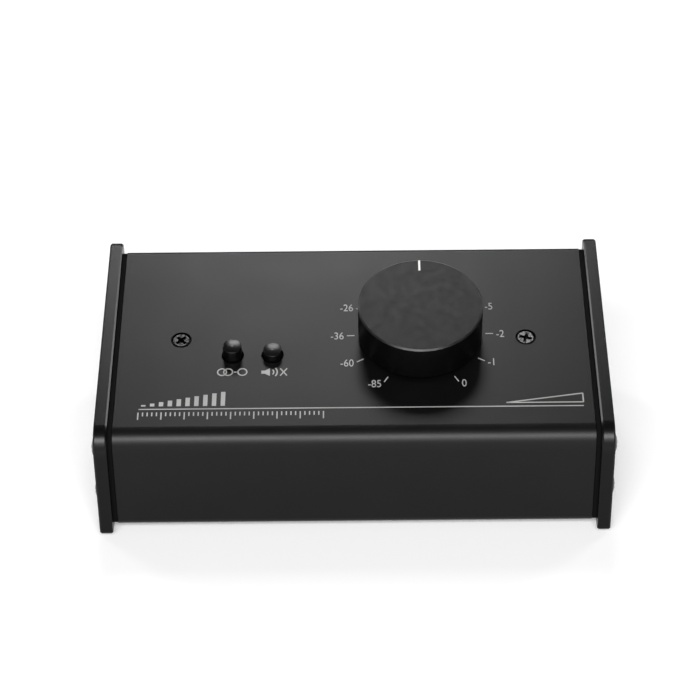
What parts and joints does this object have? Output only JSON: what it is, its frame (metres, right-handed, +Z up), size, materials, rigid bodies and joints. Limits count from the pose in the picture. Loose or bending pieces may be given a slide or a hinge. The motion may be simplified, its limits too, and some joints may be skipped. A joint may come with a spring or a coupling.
{
  "type": "studio monitor controller",
  "caption": "Desktop volume controller: sloped black metal box between side cheeks, with a large rotary knob, push-buttons on top and jack sockets at the back.",
  "frame": {"origin": "under the middle of the overall box, on the plane that the feet rest on", "axes": "+X to the user's right, +Y to the back, +Z up"},
  "size_m": [0.164, 0.0858, 0.0641],
  "materials": {
    "black_paint": "satin black coat, very fine grain",
    "cheek_paint": "satin black coat, fine grain",
    "base_steel": "satin black paint",
    "moulded_black": "matte moulded black",
    "black_screw": "blackened steel, satin",
    "plated_screw": "dull nickel plated",
    "zinc_screw": "zinc plated",
    "brass_standoff": "plated brass",
    "circuit_board": "green solder mask",
    "resistor_body": "lacquered",
    "knob_black": "black anodised, fine matte blast",
    "white_mark": "white filled groove",
    "turned_steel": "turned, nickel plated",
    "brass_bushing": "turned",
    "pot_case": "moulded",
    "tinned_pin": "tinned",
    "nickel_nut": "nickel plated",
    "cable_grey": "flat grey insulation",
    "button_black": "semi-gloss moulded black",
    "switch_plastic": "moulded natural",
    "switch_case": "moulded black",
    "spring_steel": "drawn wire",
    "foot_rubber": "matte rubber",
    "jack_plastic": "moulded black"
  },
  "bodies": {
    "box": {"base_plate": "base_steel", "base_screws": "zinc_screw", "board_screws": "zinc_screw", "board_supports": "brass_standoff", "control_board": "circuit_board", "control_resistors": "resistor_body", "jack_1": "jack_plastic", "jack_2": "jack_plastic", "jack_3": "jack_plastic", "jack_4": "jack_plastic", "jack_board": "circuit_board", "jack_nuts": "nickel_nut", "jack_pins": "tinned_pin", "jack_washers": "turned_steel", "jumper_cable": "cable_grey", "left_back_foot": "foot_rubber", "left_cheek": "cheek_paint", "left_cheek_screws": "black_screw", "left_end_frame": "moulded_black", "left_front_foot": "foot_rubber", "left_switch_body": "switch_case", "left_switch_spring": "spring_steel", "panel_screws": "plated_screw", "panel_standoffs": "brass_standoff", "pot_bushing": "brass_bushing", "pot_housing": "pot_case", "pot_nut": "turned_steel", "pot_terminals": "tinned_pin", "pot_washer": "turned_steel", "right_back_foot": "foot_rubber", "right_cheek": "cheek_paint", "right_cheek_screws": "black_screw", "right_end_frame": "moulded_black", "right_front_foot": "foot_rubber", "right_switch_body": "switch_case", "right_switch_spring": "spring_steel", "standoff_screws": "zinc_screw", "support_screws": "zinc_screw", "switch_pins": "tinned_pin", "top_shell": "black_paint"},
    "volume_knob": {"knob": "knob_black", "knob_pointer": "white_mark", "knob_grub_screw": "zinc_screw", "pot_shaft": "turned_steel"},
    "left_button": {"left_button_cap": "button_black", "left_switch_plunger": "switch_plastic"},
    "right_button": {"right_button_cap": "button_black", "right_switch_plunger": "switch_plastic"}
  },
  "joints": [
    {"name": "knob_turn", "type": "hinge", "parent": "box", "child": "volume_knob", "pos_m": [0.0212, 0.00134, 0.04597], "axis": [0, -0.2419, 0.9703], "range_deg": [-150, 150]},
    {"name": "left_button_press", "type": "slide", "parent": "box", "child": "left_button", "axis": [0, 0.2419, -0.9703], "range_m": [0, 0.0025], "stiffness_N_per_m": 400, "springref_m": -0.001, "deforming": ["left_switch_spring"]},
    {"name": "right_button_press", "type": "slide", "parent": "box", "child": "right_button", "axis": [0, 0.2419, -0.9703], "range_m": [-0.0018, 0.0007], "stiffness_N_per_m": 400, "deforming": ["right_switch_spring"]}
  ]
}
